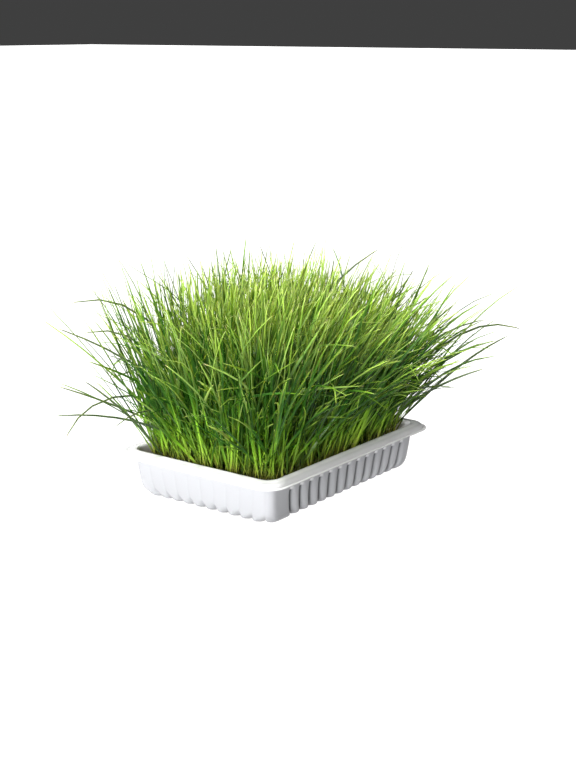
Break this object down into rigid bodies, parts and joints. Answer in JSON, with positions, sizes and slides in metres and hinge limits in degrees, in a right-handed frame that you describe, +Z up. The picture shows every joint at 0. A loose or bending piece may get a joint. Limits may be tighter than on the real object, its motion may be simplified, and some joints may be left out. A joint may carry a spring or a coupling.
{
  "type": "wheatgrass tray",
  "caption": "Shallow rectangular white plastic tray with ribbed walls and a raised rim, filled with soil and a dense lawn of long green wheatgrass blades.",
  "frame": {"origin": "middle of the tray's flat base, on the surface that it stands on", "axes": "+Z up, +X along the tray's long side, +Y along its short side"},
  "size_m": [0.3917, 0.2853, 0.1973],
  "materials": {
    "tray_plastic": "smooth semi-gloss white, very slightly translucent",
    "soil": "matt moist crumbs with fibres",
    "grass": "satin fresh leaf, yellow-green at root and tip"
  },
  "bodies": {
    "root": {"tray": "tray_plastic", "soil": "soil", "grass_tuft_01": "grass", "grass_tuft_02": "grass", "grass_tuft_03": "grass", "grass_tuft_04": "grass", "grass_tuft_05": "grass", "grass_tuft_06": "grass", "grass_tuft_07": "grass", "grass_tuft_08": "grass", "grass_tuft_09": "grass", "grass_tuft_10": "grass", "grass_tuft_11": "grass", "grass_tuft_12": "grass", "grass_tuft_13": "grass", "grass_tuft_14": "grass", "grass_tuft_15": "grass", "grass_tuft_16": "grass", "grass_tuft_17": "grass", "grass_tuft_18": "grass", "grass_tuft_19": "grass", "grass_tuft_20": "grass", "grass_tuft_21": "grass", "grass_tuft_22": "grass", "grass_tuft_23": "grass", "grass_tuft_24": "grass"}
  },
  "joints": []
}
